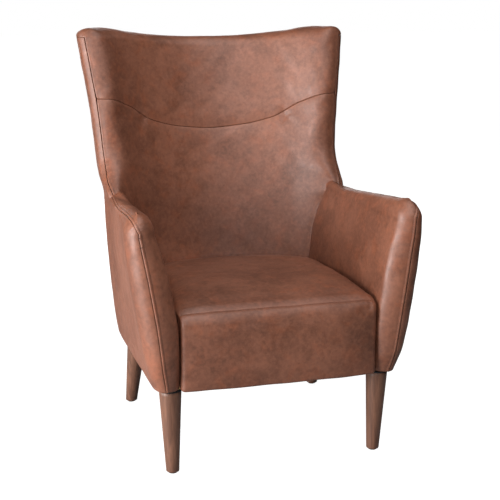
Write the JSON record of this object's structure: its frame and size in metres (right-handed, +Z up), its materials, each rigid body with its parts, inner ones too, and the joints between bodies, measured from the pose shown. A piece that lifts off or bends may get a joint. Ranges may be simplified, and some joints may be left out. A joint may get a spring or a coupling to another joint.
{
  "type": "fireside chair",
  "caption": "Upholstered fireside chair with shallow wings, sloping padded arms, a crowned fixed seat and tapered wooden legs.",
  "frame": {"origin": "bottom centre of the chair's bounding box, on the floor", "axes": "+Z up, the chair faces -Y, and +X is to the right of someone who looks at its front"},
  "size_m": [0.7508, 0.8032, 1.038],
  "materials": {
    "leather": "aged, mottled, semi-matt",
    "foam": "open-cell foam",
    "timber": "sawn and planed, unfinished",
    "leg_wood": "satin walnut stain",
    "spring_steel": "bare wire",
    "plate_steel": "black",
    "webbing": "woven",
    "dust_cloth": "thin black cloth",
    "glide": "matt"
  },
  "bodies": {
    "root": {"arm_cover_right": "leather", "arm_cover_left": "leather", "arm_outside_panel_right": "leather", "arm_outside_panel_left": "leather", "inside_back_cover": "leather", "headrest_cover": "leather", "outside_back_cover": "leather", "wing_outside_panel_right": "leather", "wing_outside_panel_left": "leather", "seat_cover": "leather", "seat_front_border": "leather", "arm_foam_right": "foam", "arm_foam_left": "foam", "back_foam": "foam", "seat_foam": "foam", "seat_border_foam": "foam", "wing_board_right": "timber", "wing_board_left": "timber", "front_rail": "timber", "back_rail": "timber", "side_rail_right": "timber", "side_rail_left": "timber", "corner_block_front_right": "timber", "corner_block_front_left": "timber", "corner_block_rear_right": "timber", "corner_block_rear_left": "timber", "back_post_right": "timber", "back_post_left": "timber", "arm_post_right": "timber", "arm_post_left": "timber", "arm_rail_right": "timber", "arm_rail_left": "timber", "lumbar_rail": "timber", "top_rail": "timber", "rear_tack_rail": "timber", "front_leg_right": "leg_wood", "front_leg_left": "leg_wood", "rear_leg_right": "leg_wood", "rear_leg_left": "leg_wood", "seat_spring_1": "spring_steel", "seat_spring_2": "spring_steel", "seat_spring_3": "spring_steel", "seat_spring_4": "spring_steel", "seat_spring_5": "spring_steel", "front_leg_bolt_right": "spring_steel", "front_leg_bolt_left": "spring_steel", "rear_leg_bolt_right": "spring_steel", "rear_leg_bolt_left": "spring_steel", "front_leg_plate_right": "plate_steel", "front_leg_plate_left": "plate_steel", "rear_leg_plate_right": "plate_steel", "rear_leg_plate_left": "plate_steel", "back_webbing_1": "webbing", "back_webbing_2": "webbing", "back_webbing_3": "webbing", "dust_cloth": "dust_cloth", "front_glide_right": "glide", "front_glide_left": "glide", "rear_glide_right": "glide", "rear_glide_left": "glide"}
  },
  "joints": []
}
